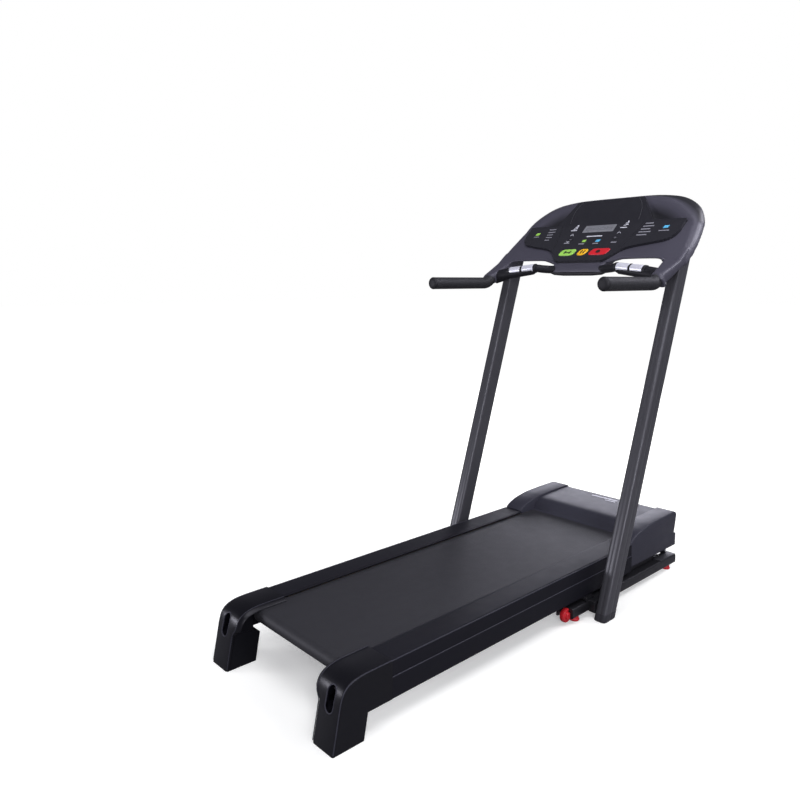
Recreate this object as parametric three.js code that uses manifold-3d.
// A folding treadmill: a low base frame with two leaning uprights and a console, and a running
// deck that swings up about a pair of hinge pins at the front of the base.
// Millimetres. +X is the user's right, +Y points forward to the motor hood, +Z is up.
// The origin lies on the floor, midway between the rear feet and the front of the hood.
import * as THREE from 'three';
import { mergeVertices } from 'three/addons/utils/BufferGeometryUtils.js';
import Module from 'manifold-3d';

const wasm = await Module();
wasm.setup();

// ---------------------------------------------------------------- driving dimensions
const GAP = 0.3;                       // clearance between pieces that touch
const HALF_LENGTH = 800;               // rear feet at -800, front of the hood at +800
const WALL = 3;                        // moulded plastic wall

const HINGE = { y: 759, z: 60, pin: 5, ear: 13 };

const TUBE = { inner: 250, outer: 298, low: 20, high: 53, rear: 112, front: 773, wall: 2 };
const FRONT_BAR = { y0: 690, y1: 730, z0: 23, z1: 51 };
const REAR_BAR = { y0: 186, y1: 226, half: 296.5, height: 12.2 };
const ROD = { y: 254, z: 59.6, r: 4, inner: 62, outer: 286, ear: 65.6 };
const FOOT = { x: 276, r: 16, top: 13, front: 740, rear: 152 };
const WHEEL = { x: 274, y: 106, z: 30, r: 22.5, half: 8, axle: 5 };

const LEAN = THREE.MathUtils.degToRad(18.2);
const UPRIGHT = { x: 340, y: 224.5, wide: 42, deep: 64, r: 14, wall: 2.5, cap: 25, spread: 13 / 1150 };

const SLOPE = THREE.MathUtils.degToRad(41.6);
const UPPER_SLOPE = THREE.MathUtils.degToRad(60);
const BEND = 208;                      // up the lower slope to where the console turns steeper
const MEET = 5.5;                      // how far each half of the console runs past the bend
const PANEL = { y: 520, z: 1141 };     // lower edge of the console's overlay
const FACE = -10;                      // console frame's front surface, along the panel's normal
const BACK = -44;                      // console frame's back edge, along the panel's normal
const GRIP = { x: 355, z: 1060, rear: 130, r: 19, tube: 14, bend: 56, drop: 88, mouth: -96, end: -74 };
const PULSE = { r: 15, plate: 16.6 };
const SAFETY_KEY = { x: -38, y: 524, r: 6, base: 1099, depth: 10 };

const BELT = { half: 200, thick: 2 };
const ROLLER = { z: 136, r: 18, rear: -692, front: 575, half: 202, axle: 8 };
const RAIL = { inner: 224, outer: 249, low: 90, high: 135, rear: -660, front: 770, wall: 2.5, post: 150 };
const SKIRT = { rear: 500, low: 56.5, high: 76.5, thick: 6 };
const BOARD = { half: 244, rear: -625, front: 515, top: 153.9 };
const FOOT_RAIL = { inner: 199.5, outer: 285, low: 66, high: 164, rear: -619.7, front: 477.7 };
const REAR_CAP = { inner: 204.5, outer: 287, low: 63, front: -620, lip: 178, leg: -692, wallFront: -714 };
const CAP_SLOT = { x0: 237, x1: 256, z0: 90, z1: 142, r: 8.9 };
const HOOD = { inner: 205, outer: 282, low: 77, rear: 478, split: 204.7 };
const BOLT = { x: 243, r: 4, head: 7, rear: -752, front: -655, headLength: 6 };
const PULLEY = { x0: 206, x1: 220, driven: 28, drive: 14, belt: 2 };
const MOTOR = { y: 690, z: 128, r: 42, x0: -150, x1: 60, shaft: 6 };

// ---------------------------------------------------------------- finishes
const FINISH = {
  frameBlack: [0x2b2b30, 0.45, 0.5],
  uprightGrey: [0x4a4a50, 0.4, 0.5],
  railCharcoal: [0x30303a, 0.5, 0.1],
  hoodCharcoal: [0x3a3a44, 0.45, 0.1],
  capBlack: [0x26262a, 0.5, 0.1],
  consoleGrey: [0x504e5c, 0.4, 0.1],
  overlayBlack: [0x16161a, 0.15, 0.1],
  darkPlastic: [0x1c1c20, 0.5, 0.1],
  foam: [0x2e2e33, 0.85, 0],
  belt: [0x34343a, 0.8, 0],
  steel: [0xa8a8ac, 0.3, 0.9],
  silver: [0xc8cad0, 0.25, 0.8],
  board: [0x3b3026, 0.7, 0],
  red: [0xd2202c, 0.5, 0],
  green: [0x8cc63c, 0.4, 0],
  yellow: [0xf2b814, 0.4, 0],
  display: [0x9aa0a4, 0.2, 0],
  circuit: [0x2f6b3c, 0.5, 0.2],
};

// ---------------------------------------------------------------- geometry helpers
function toSolid(geometry) {
  const bare = geometry.clone();
  bare.deleteAttribute('normal');
  bare.deleteAttribute('uv');
  const merged = mergeVertices(bare, 1e-4);
  return new wasm.Manifold(new wasm.Mesh({
    numProp: 3,
    vertProperties: new Float32Array(merged.attributes.position.array),
    triVerts: new Uint32Array(merged.index.array),
  }));
}

function toGeometry(solid) {
  const mesh = solid.getMesh();
  const geometry = new THREE.BufferGeometry();
  geometry.setAttribute('position', new THREE.BufferAttribute(mesh.vertProperties, 3));
  geometry.setIndex(new THREE.BufferAttribute(mesh.triVerts, 1));
  geometry.computeVertexNormals();
  return geometry;
}

function join(...pieces) {
  return toGeometry(pieces.map(toSolid).reduce((sum, piece) => sum.add(piece)));
}

function cut(base, ...tools) {
  return toGeometry(tools.map(toSolid).reduce((rest, tool) => rest.subtract(tool), toSolid(base)));
}

function overlap(a, b) {
  return toGeometry(toSolid(a).intersect(toSolid(b)));
}

const axis = (x, y, z) => new THREE.Vector3(x, y, z);

function box(low, high) {
  const size = low.map((value, i) => high[i] - value);
  const middle = low.map((value, i) => (high[i] + value) / 2);
  return new THREE.BoxGeometry(...size).translate(...middle);
}

// A box given for the right side, or its mirror image for the left one.
function sideBox(side, low, high) {
  const [a, b] = [side * low[0], side * high[0]].sort((p, q) => p - q);
  return box([a, low[1], low[2]], [b, high[1], high[2]]);
}

// A closed outline of [a, b] or [a, b, radius] points. A radius rounds that corner.
function outline(points) {
  const shape = new THREE.Shape();
  points.forEach(([a, b, radius = 0], i) => {
    const here = new THREE.Vector2(a, b);
    const before = new THREE.Vector2(...points.at(i - 1).slice(0, 2));
    const after = new THREE.Vector2(...points[(i + 1) % points.length].slice(0, 2));
    const start = here.clone().add(before.sub(here).setLength(radius));
    const end = here.clone().add(after.sub(here).setLength(radius));
    if (i === 0) shape.moveTo(start.x, start.y);
    else shape.lineTo(start.x, start.y);
    if (radius > 0) shape.quadraticCurveTo(here.x, here.y, end.x, end.y);
  });
  shape.closePath();
  return shape;
}

function roundedRectangle(a0, a1, b0, b1, r) {
  return outline([[a0, b0, r], [a1, b0, r], [a1, b1, r], [a0, b1, r]]);
}

function extrude(shape, depth, basis, segments = 5) {
  const geometry = new THREE.ExtrudeGeometry(shape, {
    depth, bevelEnabled: false, curveSegments: segments,
  });
  return geometry.applyMatrix4(new THREE.Matrix4().makeBasis(...basis));
}

const ALONG_X = [axis(0, 1, 0), axis(0, 0, 1), axis(1, 0, 0)];
const ALONG_MINUS_Y = [axis(1, 0, 0), axis(0, 0, 1), axis(0, -1, 0)];
const LOWER = slopingPlane(SLOPE, axis(0, PANEL.y, PANEL.z));
const UPPER = slopingPlane(UPPER_SLOPE, onPanel(0, BEND, FACE));
UPPER.origin.addScaledVector(UPPER.normal, -FACE);

// A plane of the console: its origin, its direction up the slope and its outward normal.
function slopingPlane(slope, origin) {
  return {
    origin,
    up: axis(0, Math.cos(slope), Math.sin(slope)),
    normal: axis(0, -Math.sin(slope), Math.cos(slope)),
  };
}

// An outline in Y and Z, drawn out along X between two stations.
function alongX(shape, x0, x1, segments) {
  return extrude(shape, Math.abs(x1 - x0), ALONG_X, segments).translate(Math.min(x0, x1), 0, 0);
}

// An outline in X and Z, drawn out along Y between two stations.
function alongY(shape, y0, y1, segments) {
  return extrude(shape, y1 - y0, ALONG_MINUS_Y, segments).translate(0, y1, 0);
}

// An outline in X and up the console's slope, drawn out along the panel's normal.
function alongNormal(shape, n0, n1, segments, plane = LOWER) {
  const geometry = extrude(shape, n1 - n0, [axis(1, 0, 0), plane.up, plane.normal], segments);
  return geometry.translate(...plane.origin.clone().addScaledVector(plane.normal, n0));
}

// The point at x, s up a console plane's slope and n out along its normal.
function onPanel(x, s, n, plane = LOWER) {
  const point = plane.origin.clone().addScaledVector(plane.up, s).addScaledVector(plane.normal, n);
  return point.setX(x);
}

// A round bar along X.
function barX(r, x0, x1, y, z, sides = 24) {
  const bar = new THREE.CylinderGeometry(r, r, Math.abs(x1 - x0), sides).rotateZ(Math.PI / 2);
  return bar.translate((x0 + x1) / 2, y, z);
}

// A turned piece about an axis along X: profile points are [radius, x].
function turnedX(profile, y, z, sides = 32) {
  const points = profile.map(([r, x]) => new THREE.Vector2(r, -x));
  return facingOut(new THREE.LatheGeometry(points, sides).rotateZ(Math.PI / 2).translate(0, y, z));
}

// A tube or bar swept along a path of points whose corners are rounded.
function swept(path, r, steps, sides = 16) {
  const section = new THREE.Shape().absarc(0, 0, r, 0, 2 * Math.PI);
  return new THREE.ExtrudeGeometry(section, {
    steps, bevelEnabled: false, curveSegments: sides / 2, extrudePath: path,
  });
}

// A closed body through rings of points that all have the same count.
function loft(rings) {
  const count = rings[0].length;
  const positions = rings.flat().flatMap((point) => [point.x, point.y, point.z]);
  const index = [];
  for (let ring = 0; ring < rings.length - 1; ring += 1) {
    for (let i = 0; i < count; i += 1) {
      const a = ring * count + i;
      const b = ring * count + ((i + 1) % count);
      index.push(a, b, b + count, a, b + count, a + count);
    }
  }
  const flat = (ring) => ring.map((point) => new THREE.Vector2(point.x, point.y + point.z));
  const last = (rings.length - 1) * count;
  for (const [a, b, c] of capTriangles(flat(rings[0]))) index.push(a, c, b);
  for (const [a, b, c] of capTriangles(flat(rings.at(-1)))) index.push(last + a, last + b, last + c);
  const geometry = new THREE.BufferGeometry();
  geometry.setAttribute('position', new THREE.Float32BufferAttribute(positions, 3));
  geometry.setIndex(index);
  return facingOut(geometry);
}

// Triangles of a flat ring, always turning the way the ring itself is listed.
function capTriangles(points) {
  const turnsLeft = THREE.ShapeUtils.area(points) > 0;
  const triangles = THREE.ShapeUtils.triangulateShape(turnsLeft ? points : [...points].reverse(), []);
  if (turnsLeft) return triangles;
  const n = points.length - 1;
  return triangles.map(([a, b, c]) => [n - c, n - b, n - a]);
}

function volume(geometry) {
  const p = geometry.attributes.position;
  const corners = [axis(0, 0, 0), axis(0, 0, 0), axis(0, 0, 0)];
  let sum = 0;
  for (let i = 0; i < geometry.index.count; i += 3) {
    corners.forEach((corner, k) => corner.fromBufferAttribute(p, geometry.index.getX(i + k)));
    sum += corners[0].dot(corners[1].clone().cross(corners[2])) / 6;
  }
  return sum;
}

// The same body with its faces turned outwards if they pointed in.
function facingOut(geometry) {
  if (volume(geometry) > 0) return geometry;
  const order = Array.from(geometry.index.array);
  for (let i = 0; i < order.length; i += 3) [order[i], order[i + 1]] = [order[i + 1], order[i]];
  geometry.setIndex(order);
  return geometry;
}

// The same outline points moved inwards by a wall's thickness. Points run anticlockwise.
function inset(points, thickness) {
  return points.map(([a, b], i) => {
    const before = points.at(i - 1);
    const after = points[(i + 1) % points.length];
    const u = new THREE.Vector2(a - before[0], b - before[1]).normalize();
    const v = new THREE.Vector2(after[0] - a, after[1] - b).normalize();
    const normal = new THREE.Vector2(-u.y - v.y, u.x + v.x);
    const scale = (2 * thickness) / normal.lengthSq();
    return [a + normal.x * scale, b + normal.y * scale];
  });
}

// A closed strip: a line of points and the same line moved sideways by a thickness.
function strip(points, thickness) {
  const inner = inset(points, thickness);
  const ends = [0, points.length - 1].map((i) => {
    const [a, b] = [points[i], points[i === 0 ? 1 : i - 1]];
    const along = new THREE.Vector2(b[0] - a[0], b[1] - a[1]).normalize();
    const turn = i === 0 ? 1 : -1;
    return [a[0] - turn * along.y * thickness, a[1] + turn * along.x * thickness];
  });
  inner[0] = ends[0];
  inner[inner.length - 1] = ends[1];
  return outline([...points, ...inner.reverse()]);
}

// ---------------------------------------------------------------- the assembly
const group = new THREE.Group();

function add(name, finish, geometry) {
  const [color, roughness, metalness] = FINISH[finish];
  const mesh = new THREE.Mesh(geometry, new THREE.MeshStandardMaterial({ color, roughness, metalness }));
  mesh.name = name;
  group.add(mesh);
}

const SIDES = [['left', -1], ['right', 1]];

// ---------------------------------------------------------------- base frame
function baseSideTube(side) {
  const [a, b] = [side * TUBE.inner, side * TUBE.outer].sort((p, q) => p - q);
  const skin = alongY(roundedRectangle(a, b, TUBE.low, TUBE.high, 6), TUBE.rear, TUBE.front, 3);
  const w = TUBE.wall;
  const hollow = roundedRectangle(a + w, b - w, TUBE.low + w, TUBE.high - w, 4);
  const core = alongY(hollow, TUBE.rear - 1, TUBE.front - w, 3);
  const notchFront = WHEEL.y + WHEEL.r + 2;
  const notch = sideBox(side, [262, TUBE.rear - 1, TUBE.low - 1], [286, notchFront, TUBE.high + 1]);
  const arm = outline([[200, 17, 4], [262, 17, 4], [266, 58, 4], [196, 58, 4]]);
  const bracket = alongX(arm, side * (TUBE.outer - 1), side * (UPRIGHT.x - UPRIGHT.wide / 2 - GAP), 2);
  const plate = outline([[740, 52], [778, 52], [768, 70, 8], [750, 70, 8]]);
  const ear = join(
    alongX(plate, side * 250.5, side * 256.5, 4),
    barX(HINGE.ear, side * 250.5, side * 256.5, HINGE.y, HINGE.z),
  );
  const pinHole = barX(HINGE.pin + GAP, side * 240, side * 262, HINGE.y, HINGE.z);
  const parts = [cut(skin, core, notch), bracket, cut(ear, pinHole)];
  if (side < 0) parts.push(rodEar(side * 272, [[238, 52], [270, 52], [262, ROD.ear, 6], [246, ROD.ear, 6]]));
  return join(...parts);
}

function rodEar(x, points) {
  const hole = barX(ROD.r + GAP, x - 8, x + 8, ROD.y, ROD.z, 16);
  return cut(alongX(outline(points), x - 3, x + 3, 3), hole);
}

function crossTube(half, y0, y1, z0, z1) {
  const wall = TUBE.wall;
  const skin = alongX(roundedRectangle(y0, y1, z0, z1, 5), -half, half, 3);
  const hollow = roundedRectangle(y0 + wall, y1 - wall, z0 + wall, z1 - wall, 3);
  const core = alongX(hollow, -half - 1, half + 1, 3);
  return cut(skin, core);
}

function rearCrossbar() {
  const low = TUBE.high + GAP;
  const bar = crossTube(REAR_BAR.half, REAR_BAR.y0, REAR_BAR.y1, low, low + REAR_BAR.height);
  const barFront = REAR_BAR.y1 - 1;
  const ear = rodEar(-72, [[barFront, 54], [262, 54, 4], [266, ROD.ear, 4], [barFront, ROD.ear]]);
  return join(bar, ear);
}

function rubberFoot(side, y) {
  const height = TUBE.low - GAP;
  const foot = new THREE.CylinderGeometry(FOOT.top, FOOT.r, height, 20).rotateX(Math.PI / 2);
  return foot.translate(side * FOOT.x, y, height / 2);
}

function wheel(side) {
  const { x, r, half } = WHEEL;
  const bore = WHEEL.axle + GAP;
  const profile = [
    [bore, x - half], [r - 9, x - half], [r - 7, x - half + 1.5], [r - 2, x - half + 1.5],
    [r, x - half + 4], [r, x + half - 4], [r - 2, x + half - 1.5], [r - 7, x + half - 1.5],
    [r - 9, x + half], [bore, x + half], [bore, x - half],
  ];
  return turnedX(profile.map(([radius, station]) => [radius, side * station]), WHEEL.y, WHEEL.z, 28);
}

function wheelBracket(side) {
  const plate = outline([[86, 27, 5], [160, 27, 2], [160, 46, 2], [112, 46, 6], [86, 40, 5]]);
  const inner = TUBE.inner + TUBE.wall + GAP;
  const ear = alongX(plate, side * inner, side * (inner + 5), 3);
  const axle = barX(WHEEL.axle, side * (inner + 4), side * 285, WHEEL.y, WHEEL.z, 20);
  const collar = barX(8, side * (inner + 4), side * 264.5, WHEEL.y, WHEEL.z, 20);
  const head = barX(8.5, side * 283, side * 287, WHEEL.y, WHEEL.z, 20);
  return join(ear, axle, collar, head);
}

function hingePin(side) {
  const r = HINGE.pin;
  const flange = 6.3;
  const profile = [
    [0, 238], [flange, 238], [flange, 242.6], [r, 242.6], [r, 256.9], [flange, 256.9], [flange, 262],
    [0, 262],
  ];
  return turnedX(profile.map(([radius, x]) => [radius, side * x]), HINGE.y, HINGE.z, 20);
}

// ---------------------------------------------------------------- uprights
function uprightBody(side, grow, t0, t1) {
  const half = [UPRIGHT.wide / 2 + grow, UPRIGHT.deep / 2 + grow];
  const shape = roundedRectangle(-half[0], half[0], -half[1], half[1], UPRIGHT.r + grow);
  const u = axis(1, 0, 0);
  const v = axis(0, Math.cos(LEAN), -Math.sin(LEAN));
  const w = axis(0, Math.sin(LEAN), Math.cos(LEAN));
  const geometry = extrude(shape, t1 - t0, [u, v.clone().negate(), w.clone().negate()], 5);
  const top = w.clone().multiplyScalar(t1);
  geometry.translate(side * UPRIGHT.x, UPRIGHT.y + top.y, top.z);
  const outward = new THREE.Matrix4().set(1, 0, side * UPRIGHT.spread, 0, 0, 1, 0, 0, 0, 0, 1, 0, 0, 0, 0, 1);
  return geometry.applyMatrix4(outward);
}

function upright(side) {
  const skin = uprightBody(side, 0, -40, 1300);
  const core = uprightBody(side, -UPRIGHT.wall, -60, 1320);
  const floor = box([-500, -200, -200], [500, 900, UPRIGHT.cap]);
  const above = alongNormal(roundedRectangle(-600, 600, -500, 900, 0), BACK - GAP, 400);
  return cut(skin, core, floor, above);
}

function uprightCap(side) {
  return overlap(uprightBody(side, 0, -60, 80), box([-500, 0, 0], [500, 500, UPRIGHT.cap - GAP]));
}

// ---------------------------------------------------------------- console
// Right half of the console's outline at the front surface: x, s up the slope, how far the same
// point has spread sideways at the back edge and, on the upper half, how far it has risen there.
const LOWER_RIM = [
  [330, -6, 0], [362, -6, 10], [371, 20, 22], [375, 55, 21], [374, 88, 22], [369, 120, 25],
  [363, 151, 27], [358, 185, 27], [353, BEND, 27],
];
const UPPER_RIM = [
  [351, 6, 27, 4], [336, 26, 28, 22], [314, 47, 27, 35], [278, 75, 24, 38], [238, 97, 20, 35],
  [192, 111, 14, 31], [146, 117, 10, 30], [102, 120, 7, 28], [50, 122, 4, 26],
];
const LOWER_EDGE = [[101, -13], [118, 2], [146, 13], [178, 20], [290, 20], [320, 11]];
const MIDDLE = -26;                    // a station between the console's front surface and back edge
const TONGUE_DROP = { face: 0, middle: -21, back: -1 };
const UNDERCUT = 42;                   // how far the hand openings' edge has receded at the back

// How far a station along the normal lies between the front surface (0) and the back edge (1).
function depthAt(n) {
  return (FACE - n) / (FACE - BACK);
}

function bothHalves(half, n, plane) {
  const whole = [...half, ...half.map(([x, s]) => [-x, s]).reverse()];
  return whole.map(([x, s]) => onPanel(x, s, n, plane));
}

function lowerRing(n, flare, drop) {
  const edge = LOWER_EDGE.map(([x, s]) => [x, s < 0 ? s + drop : s + UNDERCUT * depthAt(n)]);
  const rim = LOWER_RIM.map(([x, s, spread]) => [x + spread * flare, s]);
  const [x, s] = rim.at(-1);
  return bothHalves([...edge, ...rim, [x - 1, s + MEET]], n, LOWER);
}

function upperRing(n, flare) {
  const rim = UPPER_RIM.map(([x, s, spread, rise]) => [x + spread * flare, s + rise * depthAt(n)]);
  return bothHalves([[rim[0][0] + 3, -MEET], ...rim], n, UPPER);
}

function armRing(side, s, x0, x1, n0, n1, r) {
  const corners = [[x0, n0], [x1, n0], [x1, n1], [x0, n1]];
  const points = corners.flatMap(([x, n], i) => {
    const sx = x === x0 ? 1 : -1;
    const sn = n === n0 ? 1 : -1;
    const nearX = [x + sx * r, n];
    const middle = [x + sx * r * 0.3, n + sn * r * 0.3];
    const nearN = [x, n + sn * r];
    return i % 2 === 0 ? [nearN, middle, nearX] : [nearX, middle, nearN];
  });
  return points.map(([x, n]) => onPanel(side * x, s, n));
}

function consoleArm(side) {
  return loft([
    armRing(side, 60, 323, 389, BACK + 1, FACE - 2, 8),
    armRing(side, 5, 326, 390, BACK + 4, FACE + 1, 10),
    armRing(side, -45, 331, 386, -33, 5, 14),
    armRing(side, GRIP.mouth, 333, 379, -25, 20.5, 17),
  ]);
}

const WING_POCKET = [[206, 10], [322, 10], [306, 31], [284, 51], [252, 70], [216, 86], [160, 99]];
const BUTTONS = [
  ['button_start', 'green', -102, -40], ['button_pause', 'yellow', -33, 9], ['button_stop', 'red', 18, 100],
];
const BUTTON_ROW = { low: 28, high: 64, r: 12, base: -8.5, top: 1.5 };
const KEYS = [['key_minus', -96], ['key_plus', 96]];
const KEY = { s: 122, r: 9, base: -8.5, top: 0.9 };
const DISPLAY = { half: 66, low: 162, high: 202, depth: 3 };

function mirrored(points) {
  return points.map(([x, s]) => [-x, s]).reverse();
}

function consoleFrame() {
  const lower = loft([
    lowerRing(FACE, 0, TONGUE_DROP.face),
    lowerRing(MIDDLE, 0.8, TONGUE_DROP.middle),
    lowerRing(BACK, 1, TONGUE_DROP.back),
  ]);
  const upper = loft([upperRing(FACE, 0), upperRing(MIDDLE, 0.8), upperRing(BACK, 1)]);
  const solid = join(lower, upper, consoleArm(-1), consoleArm(1));
  const hollowLow = [
    [-312, 68], [312, 68], [312, 146], [350, 150], [342, 198], [-342, 198], [-350, 150], [-312, 146],
  ];
  const hollowTop = [[-192, 8], [192, 8], [136, 106], [-136, 106]];
  const wall = FACE - 4;
  const tools = [
    alongNormal(outline(hollowLow), BACK - 1, wall),
    alongNormal(outline(hollowTop), BACK - 1, wall, 5, UPPER),
  ];
  for (const pocket of [WING_POCKET, mirrored(WING_POCKET)]) {
    tools.push(alongNormal(outline(pocket), FACE - 13, FACE + 5, 5, UPPER));
    tools.push(alongNormal(outline(pocket), BACK - 1, FACE - 17, 5, UPPER));
  }
  for (const [, side] of SIDES) {
    tools.push(gripSweep(side, GRIP.tube + 2 * GAP, GRIP.mouth - 4, GRIP.end + 2, 1));
    tools.push(swept(pulsePath(side, 1), PULSE.r + GAP, 14, 16));
  }
  return cut(solid, ...tools, safetyKeySocket());
}

function wholeOutline(half) {
  return outline([...half, ...half.map(([x, s, r]) => [-x, s, r]).reverse()]);
}

function consoleOverlay() {
  const panel = wholeOutline([
    [100, 0, 8], [122, 27, 12], [146, 58, 12], [177, 75, 20], [246, 90, 25], [308, 107, 18],
    [327, 142, 16], [328, BEND, 4],
  ]);
  const tablet = wholeOutline([[197, -0.5], [170, 57], [139, 112, 8]]);
  const plate = join(
    alongNormal(panel, FACE + GAP, 0, 3),
    alongNormal(tablet, FACE + GAP, 0, 3, UPPER),
  );
  const tools = [alongNormal(displayShape(GAP), -DISPLAY.depth, 5, 3)];
  for (const [, , x0, x1] of BUTTONS) tools.push(alongNormal(buttonShape(x0, x1, 0.5), -20, 5, 3));
  for (const [, x] of KEYS) tools.push(alongNormal(keyShape(x, 0.5), -20, 5, 10));
  return cut(plate, ...tools);
}

function buttonShape(x0, x1, grow) {
  const { low, high, r } = BUTTON_ROW;
  return roundedRectangle(x0 - grow, x1 + grow, low - grow, high + grow, r + grow);
}

function keyShape(x, grow) {
  return new THREE.Shape().absarc(x, KEY.s, KEY.r + grow, 0, 2 * Math.PI);
}

function displayShape(grow) {
  const { half, low, high } = DISPLAY;
  return roundedRectangle(-half - grow, half + grow, low - grow, high + grow, 4);
}

// A bulging cover behind the console frame, open towards the frame: its skin and its hollow.
// Points on the shared bend keep their place up the slope, so two such covers can be joined.
function backCover(points, depth, taper, plane, bend) {
  const tip = inset(points, taper).map(([x, s], i) => [x, points[i][1] === bend ? bend : s]);
  const ring = (ends, n) => ends.map(([x, s]) => onPanel(x, s, n, plane));
  const skin = loft([ring(points, BACK - GAP), ring(tip, BACK - depth)]);
  const hollow = loft([ring(inset(points, WALL), BACK + 1), ring(inset(tip, WALL), BACK - depth + WALL)]);
  return [skin, hollow];
}

const BACK_BEND = { lower: BEND + 9, upper: -9 };
const UPPER_BACK = {
  lower: [
    [-352, BACK_BEND.lower], [-356, 190], [-348, 160], [-312, 154], [-312, 124], [312, 124], [312, 154],
    [348, 160], [356, 190], [352, BACK_BEND.lower],
  ],
  upper: [
    [-352, BACK_BEND.upper], [352, BACK_BEND.upper], [344, 8], [326, 32], [300, 54], [262, 76],
    [222, 94], [178, 104], [-178, 104], [-222, 94], [-262, 76], [-300, 54], [-326, 32], [-344, 8],
  ],
};
const LOWER_BACK = [[-316, 80], [-304, 65], [304, 65], [316, 80], [316, 121], [-316, 121]];

function upperBack() {
  const [lowSkin, lowHollow] = backCover(UPPER_BACK.lower, 24, 14, LOWER, BACK_BEND.lower);
  const [topSkin, topHollow] = backCover(UPPER_BACK.upper, 24, 14, UPPER, BACK_BEND.upper);
  return cut(join(lowSkin, topSkin), lowHollow, topHollow);
}

// A hand-pulse bar from the console's tongue out to its arm.
function pulsePath(side, extra = 0) {
  return new THREE.CatmullRomCurve3([
    onPanel(side * (96 - extra), -27, -19), onPanel(side * 140, -29, -12), onPanel(side * 176, -31, -7),
    onPanel(side * 287, -48, -7), onPanel(side * (336 + extra), -56, -10),
  ]);
}

function pulseBar(side) {
  return swept(pulsePath(side), PULSE.r, 14, 16);
}

function pulsePlate(side) {
  const path = new THREE.LineCurve3(onPanel(side * 178, -31.3, -7), onPanel(side * 284, -47.5, -7));
  const sleeve = swept(path, PULSE.plate, 6, 16);
  const core = swept(pulsePath(side), PULSE.r + GAP, 14, 16);
  const upperHalf = alongNormal(roundedRectangle(-400, 400, -200, 200, 0), -7, 60);
  return overlap(cut(sleeve, core), upperHalf);
}

function safetyKeySocket() {
  const { x, y, r, base, depth } = SAFETY_KEY;
  const socket = new THREE.CylinderGeometry(r + GAP, r + GAP, 2 * depth, 20).rotateX(Math.PI / 2);
  return socket.translate(x, y, base);
}

function safetyKey() {
  const { x, y, r, base, depth } = SAFETY_KEY;
  const low = base - GAP;
  const profile = [
    [0, low - 9], [8, low - 9], [10, low - 7], [10, low], [r, low], [r, base + depth - GAP],
    [0, base + depth - GAP],
  ];
  const points = profile.map(([radius, z]) => new THREE.Vector2(radius, z));
  return facingOut(new THREE.LatheGeometry(points, 20).rotateX(Math.PI / 2).translate(x, y, 0));
}

// ---------------------------------------------------------------- handlebar grips
// The bar's centre line: level along Y, then up the console's slope into its arm.
function gripPath(side, rear, s1) {
  const elbow = axis(side * GRIP.x, elbowY(), GRIP.z);
  const reach = GRIP.bend * Math.tan(SLOPE / 2);
  const start = axis(side * GRIP.x, rear, GRIP.z);
  const before = elbow.clone().add(axis(0, -reach, 0));
  const after = elbow.clone().addScaledVector(LOWER.up, reach);
  const path = new THREE.CurvePath();
  path.add(new THREE.LineCurve3(start, before));
  path.add(new THREE.QuadraticBezierCurve3(before, elbow, after));
  path.add(new THREE.LineCurve3(after, onPanel(side * GRIP.x, s1, gripNormal())));
  return path;
}

function elbowY() {
  return PANEL.y - GRIP.drop;
}

function gripNormal() {
  const drop = GRIP.z - PANEL.z;
  return GRIP.drop * Math.sin(SLOPE) + drop * Math.cos(SLOPE);
}

// The straight upper stretch only, used where the bar enters the console's arm.
function gripSweep(side, r, s0, s1, steps) {
  const [start, end] = [s0, s1].map((s) => onPanel(side * GRIP.x, s, gripNormal()));
  return swept(new THREE.LineCurve3(start, end), r, steps, 20);
}

function gripTube(side) {
  return swept(gripPath(side, GRIP.rear + 14, GRIP.end), GRIP.tube, 16, 14);
}

function foamGrip(side) {
  const skin = swept(gripPath(side, GRIP.rear, GRIP.mouth - GAP), GRIP.r, 16, 16);
  const core = swept(gripPath(side, GRIP.rear + 13.5, GRIP.end), GRIP.tube + 2 * GAP, 16, 14);
  return cut(skin, core);
}

// ---------------------------------------------------------------- running deck
function deckFrame() {
  const { inner, outer, low, high, rear, front, wall } = RAIL;
  const ear = [[746, HINGE.z], [772, HINGE.z], [772, low + 2], [746, low + 2]];
  const skins = [];
  const cores = [];
  for (const [, side] of SIDES) {
    skins.push(sideBox(side, [inner, rear, low], [outer, front, high]));
    skins.push(sideBox(side, [inner, rear - 6, low], [outer, rear, RAIL.post]));
    skins.push(sideBox(side, [outer - SKIRT.thick, SKIRT.rear, SKIRT.low], [outer, HINGE.y, SKIRT.high]));
    skins.push(alongX(outline(ear), side * (outer - SKIRT.thick), side * outer));
    skins.push(barX(HINGE.ear, side * (outer - SKIRT.thick), side * outer, HINGE.y, HINGE.z));
    cores.push(barX(HINGE.pin + GAP, side * 230, side * 255, HINGE.y, HINGE.z, 20));
    cores.push(sideBox(side, [inner + wall, rear + 1, low + wall], [outer - 6, front + 1, high - wall]));
    const bolt = new THREE.CylinderGeometry(BOLT.r + GAP, BOLT.r + GAP, 30, 16);
    cores.push(bolt.translate(side * BOLT.x, rear, ROLLER.z));
    const seat = ROLLER.axle + GAP;
    const seatLow = [inner - 1, ROLLER.front - seat, ROLLER.z - seat];
    cores.push(sideBox(side, seatLow, [outer + 1, ROLLER.front + seat, 160]));
  }
  for (const y of CROSS_MEMBERS) {
    const [z0, z1] = [low + 1, low + 23];
    skins.push(box([-inner - 1, y - 15, z0], [inner + 1, y + 15, z1]));
    cores.push(box([-inner - 4, y - 13, z0 + 2], [inner + 4, y + 13, z1 - 2]));
  }
  return cut(join(...skins), ...cores);
}

const CROSS_MEMBERS = [-560, -170, 220, 750];

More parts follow.
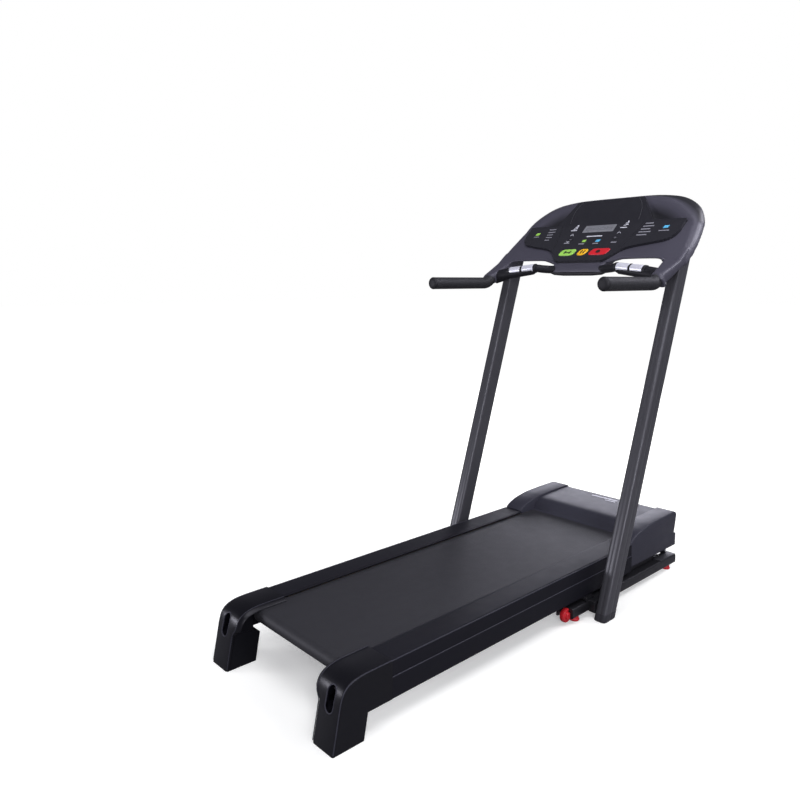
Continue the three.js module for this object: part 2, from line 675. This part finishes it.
function roller(y, extra = []) {
  const bore = ROLLER.axle + GAP;
  const profile = [
    [bore, -ROLLER.half], [ROLLER.r - 1, -ROLLER.half], [ROLLER.r, -ROLLER.half + 3],
    [ROLLER.r, ROLLER.half - 3], [ROLLER.r - 1, ROLLER.half], [bore, ROLLER.half],
  ];
  const drum = [...extra, ...profile];
  return turnedX([...drum, drum[0]], y, ROLLER.z, 32);
}

// The front roller carries the driven pulley beyond its left end.
function frontRoller() {
  const bore = ROLLER.axle + GAP;
  const r = PULLEY.driven - PULLEY.belt;
  return roller(ROLLER.front, [
    [bore, -PULLEY.x1], [r + 1.5, -PULLEY.x1], [r + 1.5, -PULLEY.x1 + 1], [r, -PULLEY.x1 + 1],
    [r, -PULLEY.x0 - 1], [r + 1.5, -PULLEY.x0 - 1], [r + 1.5, -PULLEY.x0],
    [12, -PULLEY.x0],
  ]);
}

function rollerAxle(y, half) {
  const bar = barX(ROLLER.axle, -half, half, y, ROLLER.z, 20);
  if (y > 0) return bar;
  const holes = SIDES.map(([, side]) => new THREE.CylinderGeometry(4.4, 4.4, 40, 16)
    .translate(side * BOLT.x, y, ROLLER.z));
  return cut(bar, ...holes);
}

// A loop that wraps two round pieces, each given by its centre and its own radius.
function loopShape(a, b, ra, rb) {
  const [dy, dz] = [b.y - a.y, b.z - a.z];
  const heading = Math.atan2(dz, dy);
  const spread = Math.acos((ra - rb) / Math.hypot(dy, dz));
  const shape = new THREE.Shape();
  shape.absarc(a.y, a.z, ra, heading + spread, heading - spread + 2 * Math.PI);
  shape.absarc(b.y, b.z, rb, heading - spread, heading + spread);
  shape.closePath();
  return shape;
}

function loopBand(a, b, ra, rb, thick, x0, x1) {
  const skin = alongX(loopShape(a, b, ra + thick, rb + thick), x0, x1, 14);
  const core = alongX(loopShape(a, b, ra, rb), Math.min(x0, x1) - 1, Math.max(x0, x1) + 1, 14);
  return cut(skin, core);
}

function runningBelt() {
  const r = ROLLER.r + GAP;
  const ends = [{ y: ROLLER.rear, z: ROLLER.z }, { y: ROLLER.front, z: ROLLER.z }];
  return loopBand(...ends, r, r, BELT.thick, -BELT.half, BELT.half);
}

function driveBelt() {
  const ends = [{ y: ROLLER.front, z: ROLLER.z }, { y: MOTOR.y, z: MOTOR.z }];
  const inner = [PULLEY.driven - PULLEY.belt + GAP, PULLEY.drive - PULLEY.belt + GAP];
  return loopBand(...ends, ...inner, 1.6, -PULLEY.x1 + 1.5, -PULLEY.x0 - 1.5);
}

function tensionBolt(side) {
  const { r, rear, front, headLength } = BOLT;
  const head = new THREE.CylinderGeometry(BOLT.head, BOLT.head, headLength, 6);
  const shank = new THREE.CylinderGeometry(r, r, front - rear, 16);
  head.translate(0, rear - headLength / 2, 0);
  shank.translate(0, (rear + front) / 2, 0);
  return join(head, shank).translate(side * BOLT.x, 0, ROLLER.z);
}

function footRail(side) {
  const { inner, outer, low, high } = FOOT_RAIL;
  const points = [
    [inner, 158.6], [203, 158.6], [206, high - WALL], [outer - 8, high - WALL], [outer - WALL, high - 8],
    [outer - WALL, low + WALL], [outer - 14, low + WALL], [outer - 14, low], [outer, low],
    [outer, high - 7], [outer - 7, high], [204, high], [inner, high - 2],
  ];
  const mapped = points.map(([x, z]) => [side * x, z]);
  return alongY(outline(mapped), FOOT_RAIL.rear, FOOT_RAIL.front);
}

// The rear cap's side outline from its top round the back to the floor, and the same line inside.
const REAR_CAP_BACK = [[-706, 166], [-735, 162], [-757, 151], [-771, 131], [-779, 102], [-HALF_LENGTH, 0]];
const REAR_CAP_CORE = [[-705, 163], [-733, 159], [-754.5, 148.5], [-768, 130], [-774.5, 102], [-770, 66]];
const REAR_CAP_LIP = [
  [-706, 166], [-735, 162], [-757, 151], [-771, 131], [-777, 108], [-768, 108], [-762, 128],
  [-750, 144], [-731, 153.5], [-704, 158.5],
];

function rearEndCap(side) {
  const { inner, outer, low, front, lip, leg, wallFront } = REAR_CAP;
  const body = [[front, low], [front, 166], ...REAR_CAP_BACK, [leg - 17, 0], [leg - 3, low]];
  const skin = alongX(outline(body), side * inner, side * outer);
  const hollow = [[front + 30, low + WALL], [front + 30, 163], ...REAR_CAP_CORE];
  const core = alongX(outline(hollow), side * (inner + WALL), side * (outer - WALL));
  const sideOpening = sideBox(side, [inner - 2, wallFront, 91], [outer - WALL, front + 40, 157.5]);
  const bottomOpening = sideBox(side, [inner - 2, leg, low - 5], [outer - WALL, front + 40, 92]);
  const lipShape = outline([[front, 158.5], [front, 166], ...REAR_CAP_LIP]);
  const edge = alongX(lipShape, side * lip, side * (inner + 2.5));
  const [x0, x1] = [side * CAP_SLOT.x0, side * CAP_SLOT.x1].sort((p, q) => p - q);
  const slot = alongY(roundedRectangle(x0, x1, CAP_SLOT.z0, CAP_SLOT.z1, CAP_SLOT.r), -790, -750);
  return cut(join(cut(skin, core, sideOpening, bottomOpening), edge), slot);
}

function deckBoard() {
  return box([-BOARD.half, BOARD.rear, RAIL.high + GAP], [BOARD.half, BOARD.front, BOARD.top]);
}

// ---------------------------------------------------------------- motor and hood
function motor() {
  const { x0, x1, r, shaft } = MOTOR;
  const bore = shaft + GAP;
  const profile = [
    [bore, x0], [r - 6, x0], [r, x0 + 5], [r, x0 + 40], [r - 1.5, x0 + 41], [r - 1.5, x1 - 41],
    [r, x1 - 40], [r, x1 - 5], [r - 6, x1], [0, x1], [0, x0 + 60], [bore, x0 + 60], [bore, x0],
  ];
  const body = turnedX(profile, MOTOR.y, MOTOR.z, 28);
  const saddle = box([x0 + 20, MOTOR.y - 28, HOOD.low + WALL + GAP], [x1 - 20, MOTOR.y + 28, MOTOR.z - 30]);
  return join(body, saddle);
}

function motorRotor() {
  const { shaft, x0 } = MOTOR;
  const r = PULLEY.drive - PULLEY.belt;
  const profile = [
    [0, -PULLEY.x1 - 2], [r + 1.5, -PULLEY.x1 - 2], [r + 1.5, -PULLEY.x1], [r, -PULLEY.x1 + 0.5],
    [r, -PULLEY.x0 - 0.5], [r + 1.5, -PULLEY.x0], [30, -PULLEY.x0 + 1], [30, x0 - 30], [shaft, x0 - 29],
    [shaft, x0 + 55], [0, x0 + 55],
  ];
  return turnedX(profile, MOTOR.y, MOTOR.z, 28);
}

function controller() {
  const low = HOOD.low + WALL + GAP;
  const teeth = [[80, low], [190, low], [190, low + 26]];
  for (let x = 185; x > 85; x -= 10) {
    teeth.push([x, low + 26], [x, low + 8], [x - 5, low + 8], [x - 5, low + 26]);
  }
  teeth.push([80, low + 26]);
  return alongY(outline(teeth), 610, 720);
}

function motorPan() {
  const tray = [[545, 110], [545, HOOD.low], [HALF_LENGTH, HOOD.low], [HALF_LENGTH, 126]];
  const skin = strip(tray, WALL);
  const inletHole = box([-165, 780, 88], [-135, 810, 114]);
  return cut(alongX(skin, -HOOD.split + 1.5, HOOD.split - 1.5), inletHole);
}

function powerInlet() {
  const body = box([-164.7, 770, 88.3], [-135.3, HALF_LENGTH - 1, 113.7]);
  const socket = box([-160, 782, 92], [-140, 810, 110]);
  return cut(body, socket);
}

const HOOD_TOP = [
  [545, 158.8], [556, 170], [572, 183], [596, 194], [640, 197.5], [780, 200], [794, 198], [799.5, 190],
  [795, 165], [787, 130],
];
const HOOD_CAP_PROFILE = [
  [HOOD.rear, HOOD.low], [HALF_LENGTH, HOOD.low], [HALF_LENGTH, 124], [787, 127], [787, 132], [796, 170],
  [HALF_LENGTH, 192], [797, 200.5], [786, 204.5], [711, 204], [642, 202], [605, 200], [576, 196],
  [536, 190.5], [509, 184], [490, 175.5], [HOOD.rear, 166],
];

function hoodCover() {
  return alongX(strip([...HOOD_TOP].reverse(), WALL), -HOOD.split, HOOD.split);
}

function hoodEndCap(side) {
  const core = inset(HOOD_CAP_PROFILE, WALL);
  core[0][0] = HOOD.rear - 5;
  core[core.length - 1] = [HOOD.rear - 5, core.at(-2)[1] - 7];
  const earSlot = sideBox(side, [228, 735, HOOD.low - 5], [262, 790, HOOD.low + 5]);
  return cut(
    alongX(outline(HOOD_CAP_PROFILE), side * HOOD.inner, side * HOOD.outer),
    alongX(outline(core), side * (HOOD.inner - 2), side * (HOOD.outer - WALL)),
    earSlot,
  );
}

// ---------------------------------------------------------------- build
for (const [name, side] of SIDES) {
  add(`base_side_tube_${name}`, 'frameBlack', baseSideTube(side));
  add(`foot_front_${name}`, 'red', rubberFoot(side, FOOT.front));
  add(`foot_rear_${name}`, 'red', rubberFoot(side, FOOT.rear));
  add(`wheel_${name}`, 'red', wheel(side));
  add(`wheel_bracket_${name}`, 'steel', wheelBracket(side));
  add(`hinge_pin_${name}`, 'steel', hingePin(side));
  add(`upright_${name}`, 'uprightGrey', upright(side));
  add(`upright_cap_${name}`, 'uprightGrey', uprightCap(side));
  add(`pulse_bar_${name}`, 'darkPlastic', pulseBar(side));
  add(`pulse_plate_${name}`, 'silver', pulsePlate(side));
  add(`grip_tube_${name}`, 'steel', gripTube(side));
  add(`foam_grip_${name}`, 'foam', foamGrip(side));
  add(`foot_rail_${name}`, 'railCharcoal', footRail(side));
  add(`rear_end_cap_${name}`, 'capBlack', rearEndCap(side));
  add(`hood_end_cap_${name}`, 'hoodCharcoal', hoodEndCap(side));
  add(`tension_bolt_${name}`, 'steel', tensionBolt(side));
}

add('base_front_crossbar', 'frameBlack',
  crossTube(TUBE.inner - GAP, FRONT_BAR.y0, FRONT_BAR.y1, FRONT_BAR.z0, FRONT_BAR.z1));
add('base_rear_crossbar', 'frameBlack', rearCrossbar());
add('latch_rod', 'steel', barX(ROD.r, -ROD.outer, -ROD.inner, ROD.y, ROD.z, 16));

add('console_frame', 'consoleGrey', consoleFrame());
add('console_overlay', 'overlayBlack', consoleOverlay());
add('console_upper_back', 'overlayBlack', upperBack());
add('console_lower_back', 'darkPlastic', cut(...backCover(LOWER_BACK, 12, 14, LOWER)));
add('display_lens', 'display', alongNormal(displayShape(0), -DISPLAY.depth + GAP, -0.5, 3));
for (const [name, finish, x0, x1] of BUTTONS) {
  add(name, finish, alongNormal(buttonShape(x0, x1, 0), BUTTON_ROW.base, BUTTON_ROW.top, 4));
}
for (const [name, x] of KEYS) {
  add(name, 'darkPlastic', alongNormal(keyShape(x, 0), KEY.base, KEY.top, 10));
}
add('safety_key', 'darkPlastic', safetyKey());

add('deck_frame', 'frameBlack', deckFrame());
add('deck_board', 'board', deckBoard());
add('running_belt', 'belt', runningBelt());
add('rear_roller', 'steel', roller(ROLLER.rear));
add('rear_axle', 'steel', rollerAxle(ROLLER.rear, 252));
add('front_roller', 'steel', frontRoller());
add('front_axle', 'steel', rollerAxle(ROLLER.front, 252));
add('motor', 'frameBlack', motor());
add('motor_rotor', 'steel', motorRotor());
add('drive_belt', 'belt', driveBelt());
add('controller', 'circuit', controller());
add('motor_pan', 'capBlack', motorPan());
add('power_inlet', 'darkPlastic', powerInlet());
add('hood_cover', 'hoodCharcoal', hoodCover());

export default group;
